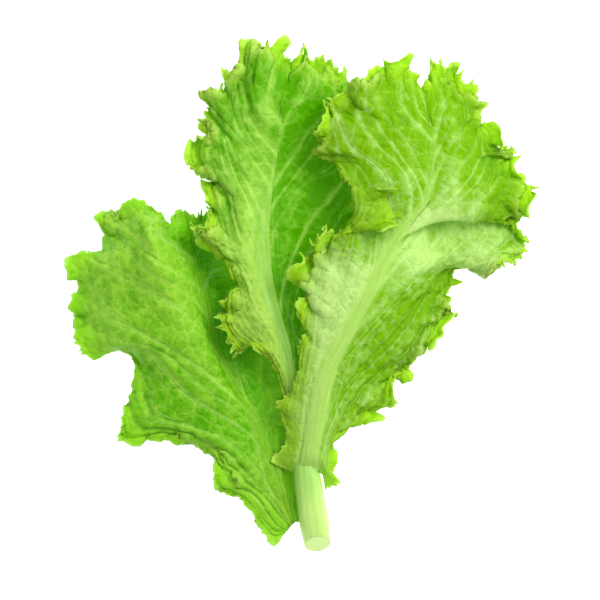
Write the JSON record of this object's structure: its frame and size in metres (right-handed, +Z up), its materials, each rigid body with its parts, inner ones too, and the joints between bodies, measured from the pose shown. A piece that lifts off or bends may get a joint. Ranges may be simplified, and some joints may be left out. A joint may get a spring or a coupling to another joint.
{
  "type": "leaf lettuce sprig",
  "caption": "Cut sprig of frilly loose-leaf lettuce: broad ruffled leaves joined at one short cut stem, lying flat for a kitchen, market or salad scene.",
  "frame": {"origin": "middle of the sprig's footprint, on the surface that it lies on", "axes": "+Y from the cut stem towards the leaf tips, +Z up from the surface, +X to the right seen from above"},
  "size_m": [0.2048, 0.2188, 0.0326],
  "materials": {
    "stem": "pale green fresh stem flesh, satin, paler on the cut end",
    "left_leaf": "mid green fresh leaf, satin, pale veins, light passing through",
    "middle_leaf": "bright green fresh leaf, satin, pale rib and veins, light passing through",
    "right_leaf": "light yellow-green fresh leaf, satin, whitish rib, light passing through"
  },
  "bodies": {
    "root": {"stem": "stem", "left_leaf": "left_leaf", "middle_leaf": "middle_leaf", "right_leaf": "right_leaf"}
  },
  "joints": []
}
